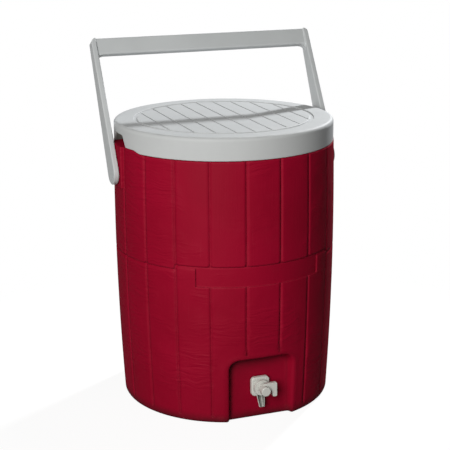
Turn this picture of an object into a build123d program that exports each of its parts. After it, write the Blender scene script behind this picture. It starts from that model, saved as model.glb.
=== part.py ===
from build123d import *
import math
import os

# A round insulated drinks cooler shaped like a small barrel: foam-filled body, lift-off lid,
# swinging bail handle and a plug tap. Millimetres. The origin is the middle of the base,
# +Z is up, the tap faces -Y and the handle pivots lie on the X axis.

# Barrel-shaped shell
shell_height = 351.0
base_radius = 141.5
belly_radius = 148.5
belly_height = 245.7
shell_wall = 2.5
foot_round = 4.0
rim_bevel = 1.0
shoulder_height = 3.5
shoulder_half_width = 46.0
shoulder_slope = 12.0
neck_gap = 13.0
cavity_steps = 4

# Staves, hoop line and plain panel of the shell; a stave faces each of the four sides,
# so the count is a multiple of four
stave_count = 20
front_staves = 5
groove_width = 3.2
groove_floor = 1.0
groove_depth = 1.2
groove_start = 9.0
stave_corner = 4.5
stave_corner_depth = 1.0
stave_corner_lead = 0.5
hoop_height = 210.5
front_hoop_height = 216.0
hoop_depth = 1.8
hoop_floor = 1.5
hoop_slope = 3.5
panel_low = 188.7
panel_half_angle = 34.5
panel_depth = 1.5

# Tap pocket
pocket_width = 83.0
pocket_height = 83.5
pocket_depth = 16.5
pocket_draft = 20.0
pocket_corner = 10.0
pocket_inside_corner = 3.0
pocket_edge = 3.5

# Base
base_thickness = 6.0
foot_ring_width = 33.5
foot_pad_radius = 56.0
foot_recess = 3.0
plug_hole_radius = 11.0
plug_head_margin = 5.0
plug_head_thickness = 1.8
plug_head_round = 0.8
plug_wall = 4.0
plug_floor = 2.0

# Liner
liner_wall = 2.0
liner_floor = 24.0
liner_corner = 10.0
liner_flange = 2.5
liner_flange_setback = 0.5
liner_mouth_round = 1.5
foam_at_neck = 6.1
foam_at_pocket = 12.8
nut_seat_depth = 1.5
nut_seat_margin = 3.5
shank_foam_gap = 1.0

# Lid
lid_height = 30.0
lid_inset = 0.6
lid_wall = 3.0
lid_foam_depth = 4.5
lid_edge_round = 5.0
lid_foot_round = 0.8
skirt_gap = 0.5
border_width = 26.6
border_groove_width = 4.5
border_groove_depth = 1.5
border_groove_round = 0.8
plank_pitch = 24.0
plank_groove_width = 2.4
plank_groove_depth = 1.2
plank_end_gap = 1.0
notch_half_top = 18.0
notch_half_bottom = 29.5
notch_corner = 3.0
cheek_wall = 2.0
cheek_neck_gap = 2.4
pan_depth = 20.0
pan_clearance = 2.0
pan_draft = 1.5
pan_corner = 4.0
seal_thickness = 3.0
seal_half_width = 3.0
seal_round = 1.0

# Handle
pivot_drop = 33.0
handle_reach = 185.0
handle_lean = 28.6
handle_corner = 7.0
arm_thickness = 7.2
arm_width_low = 33.0
arm_width_top = 14.0
arm_edge_round = 1.6
arm_standoff = 1.9
bar_height = 23.5
bar_depth = 11.0
bar_edge_round = 2.5
web_setback = 1.0
pad_clearance = 0.5
pad_drop = 19.0
pad_corner = 3.0
pad_edge_round = 1.0
pad_groove_overlap = 0.4
pad_backing = 12.0
bore_floor = 1.5
stud_radius = 5.0
stud_end_gap = 0.5
stud_chamfer = 0.8
running_clearance = 0.06

# Tap body with its washers and nut
tap_height = 45.5
tap_flange_width = 25.0
tap_flange_height = 26.0
tap_flange_corner = 5.0
tap_flange_thickness = 5.5
tap_flange_round = 1.5
tap_housing_radius = 10.5
tap_housing_length = 6.0
washer_thickness = 1.5
washer_setback = 0.5
shank_radius = 9.0
shank_clearance = 0.2
shank_past_nut = 1.5
nut_flats = 27.0
nut_length = 8.0
nut_corner_cut = 1.2
nut_chamfer = 1.0
spout_root_depth = 4.0
spout_root_drop = 3.0
spout_forward = 6.7
spout_drop = 26.5
spout_root_radius = 6.4
spout_tip_radius = 4.2
spout_wall = 1.4
spout_closed_length = 9.0
spout_mouth_tilt = 7.0

# Tap plug and lever
plug_radius = 6.0
plug_bore_radius = 3.6
collar_extra = 1.2
collar_setback = 6.0
plug_end_gap = 1.0
plug_play = 0.3
port_radius = 2.8
port_setback = 2.0
stem_radius = 3.6
stem_flat = 1.0
stem_length = 10.7
stem_end_gap = 0.6
oring_section = 1.4
oring_squeeze = 0.05
oring_setback = 2.45
hub_radius = 6.4
hub_length = 14.7
hub_round = 1.2
wing_reach = 17.6
wing_top = 8.6
wing_root = 1.0
wing_thickness = 5.6
wing_setback = 2.6
wing_round = 0.7
wing_corner = 1.6
wing_web_drop = 2.5
hook_drop = 10.8
hook_width = 5.8
hook_lean = 1.2

# How far a cut runs past the face it starts from
overrun = 1.0

# Heights, radii and places that follow from the sizes above
lid_crown = shell_height + lid_height
lid_ceiling = lid_crown - lid_wall
lid_flange_top = lid_ceiling - lid_foam_depth
lid_flange_low = lid_flange_top - liner_wall
rim_top = lid_flange_low - seal_thickness
neck_top = rim_top - liner_flange
neck_height = neck_top - shell_height
notch_height = lid_flange_low - cheek_wall - shell_height
shoulder_top = shell_height + shoulder_height
pivot_height = shell_height - pivot_drop
stave_angle = 360 / stave_count
side_bulge = belly_radius - base_radius
side_arc = (belly_height ** 2 + side_bulge ** 2) / (2 * side_bulge)


def barrel_radius(height):
    """Outer radius of the shell at a height: its side is one arc, widest at the belly."""
    return belly_radius - side_arc + math.sqrt(side_arc ** 2 - (height - belly_height) ** 2)


lid_radius = barrel_radius(shell_height) - lid_inset
skirt_inner = lid_radius - lid_wall
neck_radius = skirt_inner - neck_gap
pocket_face = barrel_radius(tap_height) - pocket_depth
liner_top_radius = neck_radius - shell_wall - foam_at_neck - liner_wall
liner_low_radius = pocket_face - shell_wall - foam_at_pocket - liner_wall
arm_inner = belly_radius + arm_standoff
arm_outer = arm_inner + arm_thickness
pad_face = arm_inner - pad_clearance
far = 2 * belly_radius


def barrel_outline(offset, low, high):
    """Half section of the barrel between two heights, its side moved outward by offset."""
    middle = (low + high) / 2
    foot = (barrel_radius(low) + offset, low)
    waist = (barrel_radius(middle) + offset, middle)
    head = (barrel_radius(high) + offset, high)
    walls = Polyline(foot, (0, low), (0, high), head)
    return make_face([walls, ThreePointArc(head, waist, foot)])


def barrel(offset, low, high):
    return revolve(Plane.XZ * barrel_outline(offset, low, high), Axis.Z)


def skin(depth, low, high):
    """Thin band that straddles the barrel's surface, used to cut shallow patterns."""
    return barrel(overrun, low, high) - barrel(-depth, low, high)


def turned(points):
    """Solid of revolution about Z from a closed outline of radius and height."""
    return revolve(Plane.XZ * make_face(Polyline(*points, close=True)), Axis.Z)


def disc(radius, low, high):
    return Pos(0, 0, low) * extrude(Circle(radius), high - low)


def ring(outer, inner, low, high):
    return disc(outer, low, high) - disc(inner, low - overrun, high + overrun)


def wedge(half_angle, low, high):
    """Sector about the front, wider than the barrel."""
    side = far * math.tan(math.radians(half_angle))
    sector = make_face(Polyline((0, 0), (side, -far), (-side, -far), close=True))
    return Pos(0, 0, low) * extrude(sector, high - low)


def ring_edges(shape, radius, height):
    """Round edges about the Z axis at one radius and height."""
    found = []
    for edge in shape.edges().filter_by(GeomType.CIRCLE):
        centre = edge.arc_center
        if abs(edge.radius - radius) < 0.05 and abs(centre.Z - height) < 0.05:
            if math.hypot(centre.X, centre.Y) < 0.05:
                found.append(edge)
    return found


def along_y(radius, near, far, height=tap_height):
    """Cylinder on the tap's axis between two Y positions."""
    low = min(near, far)
    high = max(near, far)
    start = Plane(origin=(0, low, height), x_dir=(1, 0, 0), z_dir=(0, 1, 0))
    return start * extrude(Circle(radius), high - low)


def along_x(radius, near, far, height=pivot_height):
    """Cylinder on the handle's axis between two X positions."""
    low = min(near, far)
    high = max(near, far)
    start = Plane(origin=(low, 0, height), x_dir=(0, 1, 0), z_dir=(1, 0, 0))
    return start * extrude(Circle(radius), high - low)


def pocket_block(grow):
    """Block the tap pocket removes, widening to the front; grow adds the wall of the shell."""
    half = pocket_width / 2 + grow
    top = pocket_height + grow
    low = -pocket_height
    outline = make_face(Polyline((-half, low), (half, low), (half, top), (-half, top), close=True))
    outline = fillet(outline.vertices().group_by(Axis.Y)[-1], pocket_corner + grow)
    back = Plane(origin=(0, grow - pocket_face, 0), x_dir=(1, 0, 0), z_dir=(0, -1, 0))
    block = back * extrude(outline, 2 * pocket_depth, taper=-pocket_draft)
    rim = [edge for edge in block.faces().sort_by(Axis.Y)[-1].edges() if edge.center().Z > low / 2 - grow]
    return fillet(rim, pocket_inside_corner + grow)


def pocket_mouth(shape):
    """Curved edges where the pocket's walls meet the barrel, above the foot."""
    found = []
    for edge in shape.edges().filter_by(GeomType.BSPLINE):
        box = edge.bounding_box()
        if box.max.Y < -pocket_face - pocket_inside_corner and box.min.Z > foot_round - 0.5:
            if box.max.Z < pocket_height + pocket_depth and edge.length > foot_round:
                found.append(edge)
    return found


def hoop_groove(level):
    """Groove round the body with an upright upper wall and a sloping lower wall."""
    deep = barrel_radius(level) - hoop_depth
    proud = barrel_radius(level) + overrun
    floor = level - hoop_floor
    foot = floor - (proud - deep) * hoop_slope / hoop_depth
    return turned([(deep, level), (deep, floor), (proud, foot), (proud, level)])


def plain_panel():
    """Shallow plain panel at the front that runs up into the hoop line."""
    high = front_hoop_height - hoop_floor / 2
    return wedge(panel_half_angle, panel_low, high) & skin(panel_depth, panel_low - overrun, high + overrun)


def stave_groove(low):
    """Upright groove at the front with sloping walls, bent to the side of the barrel."""
    wall_slope = (groove_width - groove_floor) / 2 / groove_depth
    floor = -(belly_radius - groove_depth)
    proud = -(belly_radius + overrun)
    half_floor = groove_floor / 2
    half_proud = groove_width / 2 + overrun * wall_slope
    section = make_face(Polyline(
        (-half_floor, floor),
        (half_floor, floor),
        (half_proud, proud),
        (-half_proud, proud),
        close=True,
    ))
    bend = Axis((0, side_arc - belly_radius, belly_height), (-1, 0, 0))
    start = math.degrees(math.asin((low - belly_height) / side_arc))
    end = math.degrees(math.asin((shoulder_top + overrun - belly_height) / side_arc))
    section = (Pos(0, 0, belly_height) * section).rotate(bend, start)
    return revolve(section, bend, end - start)


def stave_foot_corner(side, level):
    """Cut that rounds the lower corner of an upper stave beside the groove at the front."""
    near = groove_floor / 4
    wide = groove_width / 2 + stave_corner - stave_corner_lead
    low = level - hoop_floor / 2
    crown = level + stave_corner - stave_corner_lead
    shape = make_face(Polyline((near, low), (wide, low), (wide, crown), (near, crown), close=True))
    shape -= Pos(wide, crown) * Circle(stave_corner)
    cut = extrude(Plane.XZ * shape, belly_radius + overrun)
    cut &= skin(stave_corner_depth, low - overrun, crown + overrun)
    if side < 0:
        cut = mirror(cut, Plane.YZ)
    return cut


def shoulder_block(grow):
    """Block over both handle pivots within which the rim stands higher."""
    top_half = shoulder_half_width + grow
    foot_half = top_half + shoulder_slope
    low = shell_height - 3 * rim_bevel
    top = shoulder_top + grow
    shape = make_face(Polyline(
        (-foot_half, low),
        (foot_half, low),
        (foot_half, shell_height + grow),
        (top_half, top),
        (-top_half, top),
        (-foot_half, shell_height + grow),
        close=True,
    ))
    return extrude(Plane.YZ * shape, far, both=True)


def pivot_pad(side):
    """Stave made flat on one side of the shell, which carries one handle pivot."""
    half = belly_radius * math.sin(math.radians(stave_angle / 2)) - groove_width / 2 + pad_groove_overlap
    low = pivot_height - pad_drop
    top = shoulder_top
    shape = make_face(Polyline((-half, low), (half, low), (half, top), (-half, top), close=True))
    shape = fillet(shape.vertices().group_by(Axis.Y)[0], pad_corner)
    pad = Pos(pad_face - pad_backing, 0, 0) * extrude(Plane.YZ * shape, pad_backing)
    rim = pad.faces().sort_by(Axis.X)[-1].edges()
    pad = fillet(rim, pad_edge_round)
    if side < 0:
        pad = mirror(pad, Plane.YZ)
    return pad


def pivot_bore(side):
    """Blind bore of one pad, which the stud of the handle turns in."""
    end = pad_face - pad_backing + bore_floor
    return along_x(stud_radius + running_clearance, side * (pad_face + overrun), side * end)


def shell_profile():
    """Half section of the outside: rounded foot, bulging side, raised rim and neck."""
    side = barrel_outline(0, 0, shoulder_top)
    side = fillet(side.vertices().group_by(Axis.Y)[0].sort_by(Axis.X)[-1], foot_round)
    side = chamfer(side.vertices().group_by(Axis.Y)[-1].sort_by(Axis.X)[-1], rim_bevel)
    neck = Pos(neck_radius / 2, (shell_height + neck_top) / 2) * Rectangle(neck_radius, neck_height)
    return side + neck


def low_rim():
    """Ring that lowers the rim outside both shoulders and bevels its edge."""
    edge = barrel_radius(shell_height)
    foot = shell_height - 2 * rim_bevel
    cut = turned([
        (neck_radius, shell_height),
        (edge - rim_bevel, shell_height),
        (edge + rim_bevel, foot),
        (far, foot),
        (far, neck_top),
        (neck_radius, neck_top),
    ])
    return cut - shoulder_block(0)


def shell_cavity():
    """Foam space of the shell, in straight steps one wall inside the barrel."""
    low = base_thickness
    high = shell_height - shell_wall
    points = [(0, low)]
    for step in range(cavity_steps + 1):
        height = low + (high - low) * step / cavity_steps
        points.append((barrel_radius(height) - shell_wall, height))
    inner_neck = neck_radius - shell_wall
    points += [(inner_neck, high), (inner_neck, neck_top + overrun), (0, neck_top + overrun)]
    return turned(points)


# Outer shell
pads = pivot_pad(1) + pivot_pad(-1)
groove_quarter_angle = math.degrees(groove_width / 4 / belly_radius)
front_half_angle = front_staves * stave_angle / 2 + groove_quarter_angle
hoop_low = hoop_height - hoop_floor - 2 * hoop_slope
front = wedge(front_half_angle, hoop_low, front_hoop_height + overrun)
shell = revolve(Plane.XZ * shell_profile(), Axis.Z)
shell -= low_rim()
shell -= hoop_groove(hoop_height) - front
shell -= hoop_groove(front_hoop_height) & front
shell -= pocket_block(0)
shell = fillet(pocket_mouth(shell), pocket_edge)
shell -= plain_panel()
mouth_spread = math.tan(math.radians(pocket_draft)) * (belly_radius - pocket_face)
mouth_half_width = pocket_width / 2 + mouth_spread + pocket_edge
mouth_top = pocket_height + mouth_spread + pocket_edge
long_groove = stave_groove(groove_start)
short_groove = stave_groove(mouth_top)
grooves = []
corners = []
for number in range(stave_count):
    angle = (number + 0.5) * stave_angle
    turn = Rot(0, 0, angle)
    place = turn * Pos(0, -base_radius, 0)
    over_pocket = place.position.Y < 0 and abs(place.position.X) < mouth_half_width
    grooves.append(turn * (short_groove if over_pocket else long_groove))
    for side in (-1, 1):
        stave = (angle + side * stave_angle / 2 + 180) % 360 - 180
        level = front_hoop_height if abs(stave) < front_half_angle else hoop_height
        corners.append(turn * stave_foot_corner(side, level))
shell -= corners
shell -= grooves
shell += pads
cavity = shell_cavity() - pocket_block(shell_wall) - pads
shell -= cavity
shell -= pivot_bore(1) + pivot_bore(-1)
shank_hole = shank_radius + shank_clearance
shell -= along_y(shank_hole, -pocket_face - overrun, -pocket_face + shell_wall + overrun)
foot_ring_inner = base_radius - foot_ring_width
shell -= ring(foot_ring_inner, foot_pad_radius, -overrun, foot_recess)
plug_place = Pos(0, (foot_ring_inner + foot_pad_radius) / 2, 0)
shell -= plug_place * disc(plug_hole_radius, -overrun, base_thickness + overrun)

# Inner liner with a flat seat for the tap nut
liner_low = liner_floor - liner_wall
liner_seat = -(liner_low_radius - nut_seat_depth)
flange_radius = neck_radius - liner_flange_setback
liner = turned([
    (0, liner_low),
    (liner_low_radius + liner_wall, liner_low),
    (liner_top_radius + liner_wall, neck_top),
    (flange_radius, neck_top),
    (flange_radius, rim_top),
    (liner_top_radius, rim_top),
    (liner_low_radius, liner_floor),
    (0, liner_floor),
])
liner = fillet(ring_edges(liner, liner_low_radius, liner_floor), liner_corner)
liner = fillet(ring_edges(liner, liner_low_radius + liner_wall, liner_low), liner_corner + liner_wall)
liner = fillet(ring_edges(liner, liner_top_radius, rim_top), liner_mouth_round)
liner += along_y(nut_flats / 2 + nut_seat_margin, liner_seat, -(liner_low_radius + liner_wall / 2))
liner -= along_y(shank_hole, liner_seat + overrun, -pocket_face)

# Foam filling of the body
liner_space = turned([
    (0, liner_low),
    (liner_low_radius + liner_wall, liner_low),
    (liner_top_radius + liner_wall, neck_top),
    (liner_top_radius + liner_wall, neck_top + overrun),
    (0, neck_top + overrun),
])
liner_foot = ring_edges(liner_space, liner_low_radius + liner_wall, liner_low)
liner_space = fillet(liner_foot, liner_corner + liner_wall)
foam = cavity & disc(far, base_thickness, neck_top)
foam -= liner_space
foam -= along_y(shank_radius + shank_foam_gap, liner_seat, -pocket_face)

# Plug that closes the foam filling hole in the base
head_radius = plug_hole_radius + plug_head_margin
head_low = foot_recess - plug_head_thickness
foam_plug = disc(head_radius, head_low, foot_recess)
foam_plug = fillet(ring_edges(foam_plug, head_radius, head_low), plug_head_round)
foam_plug += disc(plug_hole_radius, head_low + plug_head_thickness / 2, base_thickness)
foam_plug -= disc(plug_hole_radius - plug_wall, head_low - overrun, base_thickness - plug_floor)
foam_plug = plug_place * foam_plug

# Lid shell: skirt, rounded border, ring groove and plank grooves
skirt_bottom = shell_height + skirt_gap
lid_top = disc(lid_radius, skirt_bottom, lid_crown)
lid_top = fillet(ring_edges(lid_top, lid_radius, lid_crown), lid_edge_round)
lid_top = fillet(ring_edges(lid_top, lid_radius, skirt_bottom), lid_foot_round)
lid_space = disc(skirt_inner, skirt_bottom - overrun, lid_ceiling)
lid_space = fillet(ring_edges(lid_space, skirt_inner, lid_ceiling), lid_edge_round - lid_wall)
lid_top -= lid_space
panel_radius = lid_radius - border_width
plank_radius = panel_radius - border_groove_width
lid_top -= ring(panel_radius, plank_radius, lid_crown - border_groove_depth, lid_crown + overrun)
lid_top = fillet(ring_edges(lid_top, panel_radius, lid_crown), border_groove_round)
lid_top = fillet(ring_edges(lid_top, plank_radius, lid_crown), border_groove_round)
plank_disc = disc(plank_radius - plank_end_gap, lid_crown - plank_groove_depth, lid_crown + overrun)
plank_lines = int(plank_radius / plank_pitch)
for number in range(-plank_lines, plank_lines + 1):
    slot = Pos(number * plank_pitch, 0, lid_crown) * Box(plank_groove_width, far, lid_wall)
    lid_top -= slot & plank_disc


def notch_block(grow):
    """Sloping-sided block over one handle pivot; grow adds the wall of its cheeks."""
    low = skirt_bottom - overrun
    top = shell_height + notch_height
    shape = make_face(Polyline(
        (-notch_half_bottom - grow, low),
        (notch_half_bottom + grow, low),
        (notch_half_top + grow, top + grow),
        (-notch_half_top - grow, top + grow),
        close=True,
    ))
    shape = fillet(shape.vertices().group_by(Axis.Y)[-1], notch_corner + grow)
    inner = neck_radius + cheek_neck_gap
    return Pos(inner, 0, 0) * extrude(Plane.YZ * shape, belly_radius - inner)


# Notch over each pivot, with cheeks and a roof that reach inward to the neck
cheek = notch_block(cheek_wall) & disc(skirt_inner + lid_wall / 2, skirt_bottom, lid_flange_low)
lid_top += cheek + mirror(cheek, Plane.YZ)
lid_top -= notch_block(0) + mirror(notch_block(0), Plane.YZ)
lid_top -= shoulder_block(skirt_gap)

# Lid liner: flange under the lid shell and a pan that plugs the mouth
pan_radius = liner_top_radius - pan_clearance
pan_foot = pan_radius - pan_draft
pan_low = rim_top - pan_depth
lid_liner = turned([
    (0, pan_low),
    (pan_foot, pan_low),
    (pan_radius, lid_flange_low),
    (skirt_inner, lid_flange_low),
    (skirt_inner, lid_flange_top),
    (pan_radius - liner_wall, lid_flange_top),
    (pan_foot - liner_wall, pan_low + liner_wall),
    (0, pan_low + liner_wall),
])
lid_liner = fillet(ring_edges(lid_liner, pan_foot, pan_low), pan_corner + liner_wall)
lid_liner = fillet(ring_edges(lid_liner, pan_foot - liner_wall, pan_low + liner_wall), pan_corner)

# Lid foam fills the space between the lid shell and the lid liner
pan_space = turned([
    (0, pan_low + liner_wall),
    (pan_foot - liner_wall, pan_low + liner_wall),
    (pan_radius - liner_wall, lid_flange_top),
    (0, lid_flange_top),
])
pan_space = fillet(ring_edges(pan_space, pan_foot - liner_wall, pan_low + liner_wall), pan_corner)
lid_foam = lid_space & disc(far, lid_flange_top, lid_crown)
lid_foam += pan_space

# Seal ring under the lid flange, on the middle of the liner flange
seal_middle = (liner_top_radius + flange_radius) / 2
seal_outer = seal_middle + seal_half_width
seal_inner = seal_middle - seal_half_width
lid_seal = ring(seal_outer, seal_inner, rim_top, lid_flange_low)
lid_seal = fillet(ring_edges(lid_seal, seal_outer, rim_top), seal_round)
lid_seal = fillet(ring_edges(lid_seal, seal_inner, rim_top), seal_round)


def handle_arm():
    """Tapered strap with a round lower end, standing upright on the pivot."""
    low = arm_width_low / 2
    top = arm_width_top / 2
    sides = Polyline((low, 0), (top, handle_reach), (-top, handle_reach), (-low, 0))
    foot = ThreePointArc((-low, 0), (0, -low), (low, 0))
    arm = extrude(Plane.YZ * make_face([sides, foot]), arm_thickness)
    arm = fillet(arm.faces().filter_by(Axis.X).edges(), arm_edge_round)
    return Pos(arm_inner, 0, 0) * arm


def corner_web():
    """Rounded filling in the inner corner between the bar and one arm."""
    edge = arm_inner + pad_clearance
    under = handle_reach - bar_height
    low = under - handle_corner
    inner = arm_inner - handle_corner
    square = make_face(Polyline(
        (edge, under + overrun),
        (edge, low),
        (arm_inner, low),
        (inner, under),
        (inner, under + overrun),
        close=True,
    ))
    square -= Pos(inner, low) * Circle(handle_corner)
    return extrude(Plane.XZ * square, bar_depth / 2 - web_setback, both=True)


def handle_limit():
    """Block with rounded upper corners that trims the arms to the bar."""
    low = -arm_width_low
    outline = make_face(Polyline(
        (-arm_outer, low),
        (arm_outer, low),
        (arm_outer, handle_reach),
        (-arm_outer, handle_reach),
        close=True,
    ))
    outline = fillet(outline.vertices().group_by(Axis.Y)[-1], handle_corner)
    return extrude(Plane.XZ * outline, arm_width_low, both=True)


# Bail handle: two arms, a grip bar and two inward studs, leaning back at rest
bar_middle = handle_reach - bar_height / 2
bar_start = Plane(origin=(-arm_inner - overrun, 0, bar_middle), x_dir=(0, 1, 0), z_dir=(1, 0, 0))
bar_outline = RectangleRounded(bar_depth, bar_height, bar_edge_round)
handle = bar_start * extrude(bar_outline, 2 * (arm_inner + overrun))
handle += handle_arm() + mirror(handle_arm(), Plane.YZ)
handle &= handle_limit()
handle += corner_web() + mirror(corner_web(), Plane.YZ)
stud_tip = pad_face - pad_backing + bore_floor + stud_end_gap
stud = along_x(stud_radius, stud_tip, arm_inner + overrun, 0)
stud = chamfer(stud.faces().sort_by(Axis.X)[0].edges(), stud_chamfer)
handle += stud + mirror(stud, Plane.YZ)
handle = Pos(0, 0, pivot_height) * (Rot(-handle_lean, 0, 0) * handle)

# Places along the tap's axis, from the pocket's face forward and from the liner's seat inward
flange_back = -pocket_face - washer_thickness
flange_front = flange_back - tap_flange_thickness
housing_front = flange_front - tap_housing_length
nut_back = liner_seat + washer_thickness
shank_end = nut_back + nut_length + shank_past_nut
collar_radius = plug_radius + collar_extra
collar_front = -pocket_face + collar_setback


def flange_plate(setback, back, thickness):
    """Rounded square plate on the tap's axis, its front towards -Y."""
    start = Plane(origin=(0, back, tap_height), x_dir=(1, 0, 0), z_dir=(0, -1, 0))
    width = tap_flange_width - 2 * setback
    height = tap_flange_height - 2 * setback
    return start * extrude(RectangleRounded(width, height, tap_flange_corner - setback), thickness)


# Tap body: flange on the pocket face, shank through the wall, housing and scoop-shaped spout
tap_body = flange_plate(0, flange_back, tap_flange_thickness)
tap_body = fillet(tap_body.faces().sort_by(Axis.Y)[0].edges(), tap_flange_round)
tap_body += along_y(shank_radius, flange_back - overrun, shank_end)
tap_body += along_y(tap_housing_radius, flange_front + overrun, housing_front)
spout_root = Vector(0, flange_front + spout_root_depth, tap_height - spout_root_drop)
spout_tip = Vector(0, flange_front - spout_forward, tap_height - spout_drop)
spout_way = spout_tip - spout_root
spout_length = spout_way.length
spout_plane = Plane(origin=spout_root, x_dir=(1, 0, 0), z_dir=spout_way)
root_up = (Align.CENTER, Align.CENTER, Align.MIN)
spout = Cone(spout_root_radius, spout_tip_radius, spout_length, align=root_up)
mouth_size = 2 * spout_length
mouth = Box(mouth_size, mouth_size, mouth_size, align=(Align.CENTER, Align.MIN, Align.MIN))
spout -= Pos(0, 0, spout_closed_length) * (Rot(spout_mouth_tilt, 0, 0) * mouth)
spout = spout_plane * spout
behind = Box(far, far, far, align=(Align.CENTER, Align.MIN, Align.CENTER))
tap_body += spout - Pos(0, flange_back, tap_height) * behind
bore_root = spout_root_radius - spout_wall
bore_tip = spout_tip_radius - spout_wall
tap_body -= spout_plane * Cone(bore_root, bore_tip, spout_length, align=root_up)
tap_body -= along_y(plug_radius + running_clearance, shank_end + overrun, housing_front - overrun)
tap_body -= along_y(collar_radius + running_clearance, shank_end + overrun, collar_front)


def stem_shape(front):
    """Stem of the plug with one flat side, up to a given front end."""
    stem = along_y(stem_radius, housing_front + overrun, front)
    flat = Box(far, far, far, align=(Align.CENTER, Align.CENTER, Align.MIN))
    return stem - Pos(0, 0, tap_height + stem_radius - stem_flat) * flat


# Tap plug: hollow core with a side port, a stop collar behind and the stem in front
plug_back = shank_end - plug_end_gap
stem_front = housing_front - stem_length
tap_plug = along_y(collar_radius, plug_back, collar_front + plug_play)
tap_plug += along_y(plug_radius, plug_back, housing_front + plug_play)
tap_plug += stem_shape(stem_front)
tap_plug -= along_y(plug_bore_radius, plug_back + overrun, flange_front - overrun)
port = Plane(origin=(0, flange_front + port_setback, tap_height), x_dir=(0, 1, 0), z_dir=(-1, 0, 0))
tap_plug -= port * extrude(Circle(port_radius), 2 * plug_radius)
oring_inner = plug_radius - oring_section + oring_squeeze
oring_places = (collar_front - oring_setback, housing_front + oring_setback)
for place in oring_places:
    slot = along_y(plug_radius + overrun, place - oring_section / 2, place + oring_section / 2)
    tap_plug -= slot - along_y(oring_inner, place - oring_section, place + oring_section)


def oring(place):
    """Ring in one groove of the plug, pressed to the bore's size."""
    middle = (plug_radius + oring_inner) / 2
    section = Plane(origin=(middle, 0, 0), x_dir=(1, 0, 0), z_dir=(0, -1, 0)) * Circle(plug_radius - middle)
    return Pos(0, place, tap_height) * (Rot(90, 0, 0) * revolve(section, Axis.Z))


# Tap lever: hub on the stem with a hooked wing
hub_back = housing_front - plug_play
hub_front = housing_front - hub_length
tap_lever = along_y(hub_radius, hub_back, hub_front)
tap_lever = fillet(tap_lever.faces().sort_by(Axis.Y)[0].edges(), hub_round)
hook_inner = wing_reach - hook_width
wing_outline = make_face(Polyline(
    (-wing_root, wing_top),
    (wing_reach, wing_top),
    (wing_reach, -hook_drop),
    (hook_inner, -hook_drop),
    (hook_inner - hook_lean, -wing_web_drop),
    (-wing_root, wing_root),
    close=True,
))
wing_outline = fillet(wing_outline.vertices().sort_by(Axis.X)[-3:], wing_corner)
wing_start = Plane(origin=(0, hub_back - wing_setback, tap_height), x_dir=(1, 0, 0), z_dir=(0, -1, 0))
wing = wing_start * extrude(wing_outline, wing_thickness)
wing = fillet(wing.faces().filter_by(Axis.Y).edges(), wing_round)
tap_lever += wing
tap_lever -= stem_shape(stem_front - stem_end_gap)

# Washers and nut of the tap
shank_bore = along_y(shank_radius, flange_back - overrun, shank_end + overrun)
outer_washer = flange_plate(washer_setback, -pocket_face, washer_thickness) - shank_bore
inner_washer = along_y(nut_flats / 2, liner_seat, nut_back) - shank_bore
nut_start = Plane(origin=(0, nut_back, tap_height), x_dir=(1, 0, 0), z_dir=(0, 1, 0))
tap_nut = nut_start * extrude(RegularPolygon(nut_flats / 2, 6, major_radius=False), nut_length)
nut_round = along_y(nut_flats / 2 + nut_corner_cut, nut_back, nut_back + nut_length)
tap_nut &= chamfer(nut_round.faces().sort_by(Axis.Y)[-1].edges(), nut_chamfer)
tap_nut -= shank_bore

os.makedirs("parts", exist_ok=True)
pieces = {
    "outer_shell": shell,
    "body_foam": foam,
    "inner_liner": liner,
    "foam_plug": foam_plug,
    "lid_top": lid_top,
    "lid_foam": lid_foam,
    "lid_liner": lid_liner,
    "lid_seal": lid_seal,
    "handle": handle,
    "tap_body": tap_body,
    "tap_plug": tap_plug,
    "tap_lever": tap_lever,
    "tap_outer_washer": outer_washer,
    "tap_inner_washer": inner_washer,
    "tap_nut": tap_nut,
    "tap_orings": Compound([oring(place) for place in oring_places]),
}
for name, piece in pieces.items():
    export_step(piece, os.path.join("parts", name + ".step"))
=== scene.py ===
import math

import bpy
from mathutils import Matrix, Vector

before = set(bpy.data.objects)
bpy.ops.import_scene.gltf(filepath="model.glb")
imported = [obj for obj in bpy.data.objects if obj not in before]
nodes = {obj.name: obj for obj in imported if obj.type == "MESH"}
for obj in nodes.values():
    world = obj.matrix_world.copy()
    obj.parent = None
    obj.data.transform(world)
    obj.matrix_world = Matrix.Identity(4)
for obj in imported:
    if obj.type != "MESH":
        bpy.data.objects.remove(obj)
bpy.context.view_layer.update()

# Lengths are in metres, and the tap is on the side of -Y.
# A pair whose name ends in band is where a smooth change starts and where it is complete.

# Colour clouds, mottle, grain, orange peel and scratches of all the moulded plastics.
# Each roughness here is a change to the plastic's own.
cloud_scale = 9.0
cloud_colour_band = (0.35, 0.68)
cloud_shine_band = (0.3, 0.7)
polished_roughness = -0.05
dull_roughness = 0.06
mottle_scale = 70.0
mottle_colour_band = (0.50, 0.80)
grain_shine_band = (0.3, 0.7)
grain_roughness = 0.03
grain_relief = 0.6
peel_scale_share = 0.16
peel_relief = 0.8
steep_scratch_sizes = (900.0, 900.0, 14.0)
steep_scratch_turn = (0.0, 0.5, 0.2)
steep_scratch_band = (0.70, 0.78)
level_scratch_sizes = (18.0, 1100.0, 700.0)
level_scratch_turn = (0.3, 0.0, 0.7)
level_scratch_band = (0.72, 0.80)
scratch_patch_scale = 16.0
scratch_patch_band = (0.52, 0.68)
scratch_roughness = 0.18
scratch_relief = 0.8
relief_strength = 0.6

# Worn edges, on the shell also a painted highlight on the groove lips, soft edges and the thin coat
# that gives the sheen
rim_samples = 4
soft_samples = 8
rim_facing_band = (0.995, 0.90)
rim_mottle_band = (0.35, 0.65)
rim_least = 0.35
coat_roughness = 0.58
coat_ior = 1.8

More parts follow.
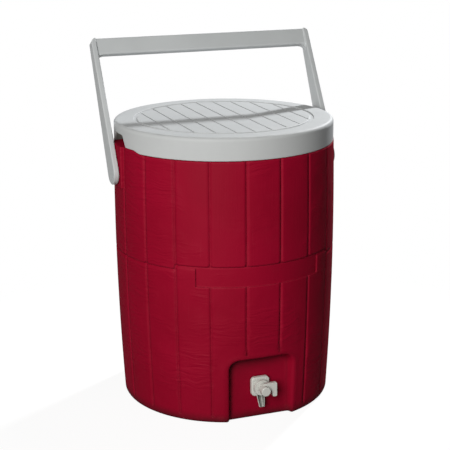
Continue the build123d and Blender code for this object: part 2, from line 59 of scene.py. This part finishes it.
# Wood look of the staves: bent ripples in patches, and fine upright lines
ripple_bend = 0.016
ripple_bend_scale = 34.0
ripple_sizes = (26.0, 26.0, 240.0)
ripple_patch_scale = 12.0
ripple_patch_band = (0.44, 0.60)
upright_line_sizes = (520.0, 520.0, 16.0)
upright_line_share = 0.10

# Places on the shell; the panel's side is an angle from the tap's side, in radians
stave_turn = math.radians(18)
stave_width = 0.0465
lip_width = 0.0045
lip_depth = 0.0012
lip_foot_band = (0.007, 0.012)
panel_side_band = (0.604, 0.600)
panel_bottom_band = (0.188, 0.189)
panel_top_band = (0.216, 0.215)
pocket_side_band = (0.066, 0.054)
pocket_top_band = (0.110, 0.096)
pocket_front_band = (-0.09, -0.11)
pocket_softness = 0.007

# Painted shade in the tap's hollows and spout, inside the lid's skirt, in the pocket and at the foot
painted_shade_colour = (0.06, 0.065, 0.05, 1)
painted_shade_red = (0.030, 0.004, 0.006, 1)
hollow_reach = 0.008
hollow_band = (0.75, 0.35)
spout_root = (0.0, -0.13035, 0.0425)
spout_way = (0.0, -0.41439, -0.91010)
spout_taper = 0.0852
spout_wall_band = (0.0060, 0.0055)
spout_start_band = (0.003, 0.008)
spout_painted_shade = 0.80
skirt_radius_band = (0.1450, 0.1435)
skirt_height_band = (0.3755, 0.3740)
corner_reach = 0.045
corner_band = (1.0, 0.60)
corner_facing_band = (-0.60, -0.90)
corner_top_band = (0.087, 0.083)
corner_side_band = (0.040, 0.010)
corner_right_share = 0.25
foot_height_band = (0.016, 0.001)
foot_mottle_band = (0.30, 0.60)
foot_least = 0.70

# Studio
floor_half = 6.0
floor_drop = 0.0004
floor_near_band = (0.55, 0.22)
floor_near_glow = 0.90
floor_bounce_colour = (0.06, 0.06, 0.06, 1)
floor_shadow_colour = (0.14, 0.14, 0.14, 1)
black = (0, 0, 0, 1)
white_light = (1, 1, 1, 1)
room_light = 0.03
room_colour = (0.97, 0.98, 1.0, 1)
lamp_target = Vector((0, 0, 0.24))

# Camera, fitted to the photograph; its place is then turned round the object by camera_turn
camera_turn = math.radians(20.0)
camera_pitch = math.radians(15.604)
camera_roll = math.radians(0.441)
camera_place = Vector((0.0008, -1.5789, 0.6710))
camera_sensor = 36.0
camera_lens = 95.66


class Graph:
    """Puts nodes in a node tree. A value that is an output socket is linked, any other value is set.

    An input called i0, i1 and so on is found by its number, any other by its name, with _ for a space.
    """

    def __init__(self, tree):
        self.tree = tree
        self.tree.nodes.clear()

    def put(self, kind, settings=None, **inputs):
        node = self.tree.nodes.new(kind)
        for name, value in (settings or {}).items():
            setattr(node, name, value)
        for name, value in inputs.items():
            self.feed(node, name, value)
        return node

    def feed(self, node, name, value):
        numbered = name[0] == "i" and name[1:].isdigit()
        socket = node.inputs[int(name[1:]) if numbered else name.replace("_", " ")]
        if isinstance(value, bpy.types.NodeSocket):
            self.tree.links.new(value, socket)
        else:
            socket.default_value = value

    def finish(self, kind, shader):
        """Put the tree's output node and give it the shader node's result."""
        out = self.put(kind)
        self.tree.links.new(shader.outputs[0], out.inputs[0])

    def math(self, operation, a, b=0.0, clamp=False):
        settings = {"operation": operation, "use_clamp": clamp}
        return self.put("ShaderNodeMath", settings, i0=a, i1=b).outputs[0]

    def product(self, result, *others):
        for other in others:
            result = self.math("MULTIPLY", result, other)
        return result

    def vector(self, operation, a, b=(0.0, 0.0, 0.0)):
        """Vector math; a dot product or a length comes out as a number."""
        node = self.put("ShaderNodeVectorMath", {"operation": operation}, i0=a, i1=b)
        is_number = operation in ("DOT_PRODUCT", "LENGTH")
        return node.outputs["Value" if is_number else "Vector"]

    def axes(self, vector):
        return self.put("ShaderNodeSeparateXYZ", None, Vector=vector).outputs

    def stretched(self, where, sizes, turn=(0.0, 0.0, 0.0)):
        return self.put("ShaderNodeMapping", None, Vector=where, Rotation=turn, Scale=sizes).outputs[0]

    def noise(self, where, scale=1.0, detail=3.0, roughness=0.55, distortion=0.0):
        node = self.put("ShaderNodeTexNoise", None, Vector=where, Scale=scale, Detail=detail,
                        Roughness=roughness, Distortion=distortion)
        return node.outputs["Fac"]

    def ramp(self, value, band, at_start=0.0, at_end=1.0):
        """Smooth change from at_start to at_end while the value passes through the band."""
        settings = {"interpolation_type": "SMOOTHSTEP"}
        ends = {"i1": band[0], "i2": band[1], "i3": at_start, "i4": at_end}
        return self.put("ShaderNodeMapRange", settings, i0=value, **ends).outputs[0]

    def blend(self, share, a, b):
        """Colour a where the share is 0, colour b where it is 1."""
        node = self.put("ShaderNodeMix", {"data_type": "RGBA"})
        self.feed(node, "i0", share)
        self.feed(node, "i6", a)
        self.feed(node, "i7", b)
        return node.outputs[2]

    def openness(self, reach):
        """1 in the open, less where other walls of the same piece stand within reach."""
        node = self.put("ShaderNodeAmbientOcclusion", {"only_local": True}, Distance=reach)
        return node.outputs["AO"]


def scratches(graph, where, strength):
    """Fine scratches in two directions, gathered in patches."""
    steep = graph.stretched(where, steep_scratch_sizes, steep_scratch_turn)
    level = graph.stretched(where, level_scratch_sizes, level_scratch_turn)
    steep_lines = graph.ramp(graph.noise(steep, detail=1.0), steep_scratch_band)
    level_lines = graph.ramp(graph.noise(level, detail=1.0), level_scratch_band)
    patch = graph.noise(where, scratch_patch_scale, detail=3.0, roughness=0.6, distortion=0.4)
    lines = graph.math("MAXIMUM", steep_lines, level_lines)
    lines = graph.product(lines, graph.ramp(patch, scratch_patch_band))
    return graph.math("MULTIPLY", lines, strength, True)


def rim_wear_and_glint(graph, flat, mottle, strength, size):
    """Pale edges, wear and painted highlight, where a rounded normal leaves the face's own; mottled."""
    rounded = graph.put("ShaderNodeBevel", {"samples": rim_samples}, Radius=size).outputs[0]
    facing = graph.vector("DOT_PRODUCT", rounded, flat)
    rim = graph.ramp(facing, rim_facing_band)
    rim = graph.product(rim, graph.ramp(mottle, rim_mottle_band, rim_least, 1.0))
    return graph.math("MULTIPLY", rim, strength, True)


def wood_relief(graph, where):
    """Ripples across the staves in patches, with fine upright lines, as moulded in."""
    sway = graph.put("ShaderNodeTexNoise", None, Vector=where, Scale=ripple_bend_scale, Detail=1.0)
    bend = graph.put("ShaderNodeVectorMath", {"operation": "SCALE"}, Scale=ripple_bend)
    graph.feed(bend, "i0", sway.outputs["Color"])
    swayed = graph.vector("ADD", where, bend.outputs[0])
    ripple = graph.noise(graph.stretched(swayed, ripple_sizes), detail=2.0)
    upright = graph.noise(graph.stretched(where, upright_line_sizes), detail=2.0)
    patch = graph.ramp(graph.noise(where, ripple_patch_scale, detail=2.0), ripple_patch_band)
    across = graph.product(ripple, patch)
    return graph.math("ADD", across, graph.product(upright, upright_line_share))


def pocket_share(graph, where):
    """1 in and round the tap pocket, 0 on the rest of the shell."""
    axes = graph.axes(where)
    across = graph.ramp(graph.math("ABSOLUTE", axes["X"]), pocket_side_band)
    upward = graph.ramp(axes["Z"], pocket_top_band)
    ahead = graph.ramp(axes["Y"], pocket_front_band)
    return graph.product(across, upward, ahead)


def groove_lips(graph, where, pocket):
    """Share of the rounded lips beside the grooves; none on the front panel, pocket and foot."""
    axes = graph.axes(where)
    angle = graph.math("ARCTAN2", axes["X"], graph.product(axes["Y"], -1.0))
    turns = graph.math("ADD", graph.math("DIVIDE", angle, stave_turn), 0.5)
    off = graph.product(graph.math("PINGPONG", turns, 0.5), stave_width)
    lips = graph.ramp(off, (0.0, lip_width), 1.0, 0.0)
    side = graph.ramp(graph.math("ABSOLUTE", angle), panel_side_band)
    bottom = graph.ramp(axes["Z"], panel_bottom_band)
    top = graph.ramp(axes["Z"], panel_top_band)
    panel = graph.product(side, bottom, top)
    clear = graph.math("SUBTRACT", 1.0, graph.math("MAXIMUM", panel, pocket), True)
    return graph.product(lips, clear, graph.ramp(axes["Z"], lip_foot_band))


def spout_inside(graph, where):
    """1 on the inner wall of the tap's tapered spout, 0 on its outer wall and the rest of the tap."""
    arm = graph.vector("SUBTRACT", where, spout_root)
    along = graph.vector("DOT_PRODUCT", arm, spout_way)
    off = graph.vector("LENGTH", graph.vector("CROSS_PRODUCT", arm, spout_way))
    widened = graph.math("ADD", off, graph.product(along, spout_taper))
    return graph.product(graph.ramp(widened, spout_wall_band), graph.ramp(along, spout_start_band))


def tap_painted_shade(graph, where, strength):
    """Share of painted shade in the tap's narrow corners and inside its spout."""
    hollow = graph.ramp(graph.openness(hollow_reach), hollow_band, 0.0, strength)
    return graph.math("MAXIMUM", hollow, graph.product(spout_inside(graph, where), spout_painted_shade))


def skirt_inside(graph, where, strength):
    """Share of painted shade on the inside of the lid's skirt, which shows in the notches over the
    pivots.
    """
    axes = graph.axes(where)
    level_place = graph.put("ShaderNodeCombineXYZ", None, X=axes["X"], Y=axes["Y"]).outputs[0]
    radius = graph.vector("LENGTH", level_place)
    inside = graph.ramp(radius, skirt_radius_band, 0.0, strength)
    return graph.product(inside, graph.ramp(axes["Z"], skirt_height_band))


def pocket_corners(graph, where, flat, pocket, strength):
    """Share of painted shade on the pocket's back wall, near its edges and less to the right."""
    axes = graph.axes(where)
    corner = graph.ramp(graph.openness(corner_reach), corner_band, 0.0, strength)
    facing = graph.ramp(graph.axes(flat)["Y"], corner_facing_band)
    below = graph.ramp(axes["Z"], corner_top_band)
    leftward = graph.ramp(axes["X"], corner_side_band, corner_right_share, 1.0)
    return graph.product(corner, facing, below, leftward, pocket)


def foot_shade_share(graph, where, mottle, strength):
    """Share of painted shade in a band along the foot, broken up by the mottle."""
    low = graph.ramp(graph.axes(where)["Z"], foot_height_band, 0.0, strength)
    return graph.product(low, graph.ramp(mottle, foot_mottle_band, foot_least, 1.0))


def moulded(name, main, deep, pale, rough, grain_scale, grain_height, scuff=0.3, edge=0.3, specular=0.5,
            coat=0.0, edge_size=0.0012, soft_edge=0.0012, blotch=0.05, hollow_painted_shade=0.0,
            skirt_painted_shade=0.0, pocket_painted_shade=0.0, foot_painted_shade=0.0, wood_height=0.0):
    """Moulded plastic: cloudy colour, fine grain, scratches in patches, worn edges and painted shade.

    The clouds go from deep to main, and worn or scratched places are pale; on the shell the pale edges
    are also a painted highlight on the groove lips. A wood_height makes it the shell's plastic, with
    the wood look and the rounded lips; pocket_painted_shade needs that too.
    """
    material = bpy.data.materials.new(name)
    material.use_nodes = True
    graph = Graph(material.node_tree)
    where = graph.put("ShaderNodeTexCoord").outputs["Object"]
    flat = graph.put("ShaderNodeNewGeometry").outputs["Normal"]
    cloud = graph.noise(where, cloud_scale, detail=4.0)
    mottle = graph.noise(where, mottle_scale, detail=3.0)
    grain = graph.noise(where, grain_scale, detail=2.0, roughness=0.5)
    peel = graph.noise(where, grain_scale * peel_scale_share, detail=2.0, roughness=0.4)
    scuffs = scratches(graph, where, scuff)
    # Pale edges: wear, and on the shell partly a painted highlight on the groove lips
    rim = rim_wear_and_glint(graph, flat, mottle, edge, edge_size)
    if wood_height:
        pocket = pocket_share(graph, where)
        soft_edge = graph.math("ADD", graph.product(pocket, pocket_softness), soft_edge)
    soft = graph.put("ShaderNodeBevel", {"samples": soft_samples}, Radius=soft_edge).outputs[0]

    colour = graph.blend(graph.ramp(cloud, cloud_colour_band), deep, main)
    colour = graph.blend(graph.ramp(mottle, mottle_colour_band, 0.0, blotch), colour, pale)
    colour = graph.blend(scuffs, colour, pale)
    colour = graph.blend(rim, colour, pale)
    # Painted shade: darker in the tap's narrow corners and inside its spout
    if hollow_painted_shade:
        colour = graph.blend(tap_painted_shade(graph, where, hollow_painted_shade), colour, painted_shade_colour)
    # Painted shade: darker on the inside of the lid's skirt, seen in the notches
    if skirt_painted_shade:
        colour = graph.blend(skirt_inside(graph, where, skirt_painted_shade), colour, painted_shade_colour)
    # Painted shade: darker on the pocket's back wall near its edges, less to the right
    if pocket_painted_shade:
        corners = pocket_corners(graph, where, flat, pocket, pocket_painted_shade)
        colour = graph.blend(corners, colour, painted_shade_red)
    # Painted shade: darker in a band along the foot
    if foot_painted_shade:
        colour = graph.blend(foot_shade_share(graph, where, mottle, foot_painted_shade), colour, painted_shade_red)

    shine = graph.ramp(cloud, cloud_shine_band, rough + polished_roughness, rough + dull_roughness)
    shine = graph.math("ADD", shine, graph.product(scuffs, scratch_roughness))
    fine_shine = graph.ramp(grain, grain_shine_band, -grain_roughness, grain_roughness)
    shine = graph.math("ADD", shine, fine_shine, True)

    relief = graph.math("ADD", graph.product(grain, grain_relief), graph.product(peel, peel_relief))
    relief = graph.math("SUBTRACT", relief, graph.product(scuffs, scratch_relief))
    relief = graph.product(relief, grain_height)
    if wood_height:
        wood_share = graph.math("SUBTRACT", wood_height, graph.product(pocket, wood_height))
        relief = graph.math("ADD", relief, graph.product(wood_relief(graph, where), wood_share))
        lips = graph.product(groove_lips(graph, where, pocket), lip_depth)
        relief = graph.math("SUBTRACT", relief, lips)
    bump = graph.put("ShaderNodeBump", None, Strength=relief_strength, Distance=1.0, Normal=soft)
    graph.feed(bump, "Height", relief)

    skin = graph.put("ShaderNodeBsdfPrincipled", None, Base_Color=colour, Roughness=shine)
    graph.feed(skin, "Normal", bump.outputs[0])
    graph.feed(skin, "Coat Normal", bump.outputs[0])
    skin.inputs["Specular IOR Level"].default_value = specular
    skin.inputs["Coat Weight"].default_value = coat
    skin.inputs["Coat Roughness"].default_value = coat_roughness
    skin.inputs["Coat IOR"].default_value = coat_ior
    graph.finish("ShaderNodeOutputMaterial", skin)
    return material


# Shell: painted shade in the pocket's corners and along the foot; its pale edges are partly a painted
# highlight
red = moulded(
    "shell_red",
    main=(0.300, 0.0014, 0.020, 1), deep=(0.270, 0.0012, 0.017, 1), pale=(0.46, 0.06, 0.09, 1),
    rough=0.40, specular=0.0, coat=0.09, grain_scale=1100.0, grain_height=0.00010, wood_height=0.0024,
    scuff=0.14, edge=0.22, soft_edge=0.0028, blotch=0.02, pocket_painted_shade=0.75, foot_painted_shade=0.75,
)
# Lid: painted shade on the inside of the skirt
lid_grey = moulded(
    "lid_grey",
    main=(0.545, 0.556, 0.562, 1), deep=(0.505, 0.517, 0.524, 1), pale=(0.70, 0.70, 0.71, 1),
    rough=0.62, specular=0.20, coat=0.08, grain_scale=1000.0, grain_height=0.00009,
    scuff=0.30, edge=0.22, skirt_painted_shade=0.85,
)
handle_grey = moulded(
    "handle_grey",
    main=(0.550, 0.568, 0.578, 1), deep=(0.505, 0.523, 0.533, 1), pale=(0.68, 0.69, 0.70, 1),
    rough=0.56, specular=0.30, coat=0.04, grain_scale=900.0, grain_height=0.00010,
    scuff=0.40, edge=0.25,
)
# Tap: painted shade in its hollows and spout
tap_white = moulded(
    "tap_white",
    main=(0.660, 0.660, 0.625, 1), deep=(0.610, 0.605, 0.570, 1), pale=(0.76, 0.76, 0.73, 1),
    rough=0.30, grain_scale=1600.0, grain_height=0.00005,
    scuff=0.30, edge=0.25, edge_size=0.0005, soft_edge=0.0007, hollow_painted_shade=0.5,
)
liner_white = moulded(
    "liner_white",
    main=(0.78, 0.78, 0.76, 1), deep=(0.70, 0.70, 0.67, 1), pale=(0.86, 0.86, 0.85, 1),
    rough=0.50, specular=0.30, grain_scale=1200.0, grain_height=0.00006,
    scuff=0.35, edge=0.20,
)
foam = moulded(
    "foam_cream",
    main=(0.76, 0.70, 0.50, 1), deep=(0.66, 0.59, 0.40, 1), pale=(0.84, 0.80, 0.66, 1),
    rough=0.85, specular=0.2, grain_scale=420.0, grain_height=0.00060,
    scuff=0.15, edge=0.10,
)
rubber = moulded(
    "seal_rubber",
    main=(0.050, 0.050, 0.052, 1), deep=(0.035, 0.035, 0.036, 1), pale=(0.16, 0.16, 0.16, 1),
    rough=0.68, specular=0.35, grain_scale=1300.0, grain_height=0.00008,
    scuff=0.25, edge=0.20,
)

finish_of = {
    "outer_shell": red,
    "foam_plug": red,
    "lid_top": lid_grey,
    "handle": handle_grey,
    "inner_liner": liner_white,
    "lid_liner": liner_white,
    "body_foam": foam,
    "lid_foam": foam,
    "tap_body": tap_white,
    "tap_plug": tap_white,
    "tap_lever": tap_white,
    "tap_nut": tap_white,
    "lid_seal": rubber,
    "tap_outer_washer": rubber,
    "tap_inner_washer": rubber,
    "tap_orings": rubber,
}
for name, obj in nodes.items():
    obj.data.materials.clear()
    obj.data.materials.append(finish_of[name])


def background_share(graph):
    """1 for rays that show the background: straight from the camera, mirrored or through glass."""
    path = graph.put("ShaderNodeLightPath")
    share = graph.math("MAXIMUM", path.outputs["Is Camera Ray"], path.outputs["Is Glossy Ray"])
    return graph.math("MAXIMUM", share, path.outputs["Is Transmission Ray"])


def join(graph, kind, first, second, share=None):
    """Add two shaders, or mix them where a share of the second one is given."""
    node = graph.put(kind)
    if share is not None:
        graph.feed(node, "Fac", share)
    graph.tree.links.new(first.outputs[0], node.inputs[-2])
    graph.tree.links.new(second.outputs[0], node.inputs[-1])
    return node


# Floor: white with the object's shadow where it is seen, dark paper to all other rays
floor_corners = [
    (-floor_half, -floor_half, 0),
    (floor_half, -floor_half, 0),
    (floor_half, floor_half, 0),
    (-floor_half, floor_half, 0),
]
floor_mesh = bpy.data.meshes.new("floor")
floor_mesh.from_pydata(floor_corners, [], [(0, 1, 2, 3)])
floor = bpy.data.objects.new("floor", floor_mesh)
bpy.context.scene.collection.objects.link(floor)
floor.location.z = -floor_drop
floor_skin = bpy.data.materials.new("studio_floor")
floor_skin.use_nodes = True
graph = Graph(floor_skin.node_tree)
away = graph.vector("LENGTH", graph.put("ShaderNodeTexCoord").outputs["Object"])
near = graph.ramp(away, floor_near_band)
shade = graph.blend(near, black, floor_shadow_colour)
catcher = graph.put("ShaderNodeBsdfDiffuse", None, Color=shade)
glow = graph.put("ShaderNodeEmission", None, Color=white_light)
graph.feed(glow, "Strength", graph.ramp(near, (0.0, 1.0), 1.0, floor_near_glow))
lifted = join(graph, "ShaderNodeAddShader", catcher, glow)
paper = graph.put("ShaderNodeBsdfDiffuse", None, Color=floor_bounce_colour)
shown = join(graph, "ShaderNodeMixShader", paper, lifted, background_share(graph))
graph.finish("ShaderNodeOutputMaterial", shown)
floor_mesh.materials.append(floor_skin)

# World: white where it is seen, a faint even light to all other rays
world = bpy.data.worlds.new("studio")
bpy.context.scene.world = world
world.use_nodes = True
graph = Graph(world.node_tree)
seen = graph.put("ShaderNodeBackground", None, Color=white_light, Strength=1.0)
felt = graph.put("ShaderNodeBackground", None, Color=room_colour, Strength=room_light)
shown = join(graph, "ShaderNodeMixShader", felt, seen, background_share(graph))
graph.finish("ShaderNodeOutputWorld", shown)


def softbox(name, side_angle, height_angle, distance, width, height, power, tint):
    """Soft lamp aimed at the object's middle; its angles are degrees from the tap's side and up."""
    side = math.radians(side_angle)
    rise = math.radians(height_angle)
    way = Vector((math.sin(side) * math.cos(rise), -math.cos(side) * math.cos(rise), math.sin(rise)))
    lamp = bpy.data.lights.new(name, "AREA")
    lamp.shape = "RECTANGLE"
    lamp.size = width
    lamp.size_y = height
    lamp.energy = power
    lamp.color = tint
    holder = bpy.data.objects.new(name, lamp)
    bpy.context.scene.collection.objects.link(holder)
    holder.location = lamp_target + way * distance
    holder.rotation_euler = (-way).to_track_quat("-Z", "Y").to_euler()


softbox("key", side_angle=-37, height_angle=21, distance=1.9, width=0.8, height=1.35, power=33.5,
        tint=(1.0, 0.995, 0.965))
softbox("side", side_angle=128, height_angle=33, distance=2.2, width=0.15, height=0.15, power=55.0,
        tint=(0.965, 0.985, 1.0))

# Camera at the photograph's angle: left of the tap, looking slightly down
spin = Matrix.Rotation(-camera_turn, 3, "Z")
forward = spin @ Vector((0, math.cos(camera_pitch), -math.sin(camera_pitch)))
upright = spin @ Vector((0, math.sin(camera_pitch), math.cos(camera_pitch)))
across = spin @ Vector((1, 0, 0))
right = across * math.cos(camera_roll) - upright * math.sin(camera_roll)
up = across * math.sin(camera_roll) + upright * math.cos(camera_roll)
place = spin @ camera_place
camera = bpy.data.cameras.new("camera")
camera.sensor_width = camera_sensor
camera.lens = camera_lens
holder = bpy.data.objects.new("camera", camera)
bpy.context.scene.collection.objects.link(holder)
holder.matrix_world = Matrix((
    (right.x, up.x, -forward.x, place.x),
    (right.y, up.y, -forward.y, place.y),
    (right.z, up.z, -forward.z, place.z),
    (0, 0, 0, 1),
))
bpy.context.scene.camera = holder

bpy.context.scene.view_settings.view_transform = "Standard"
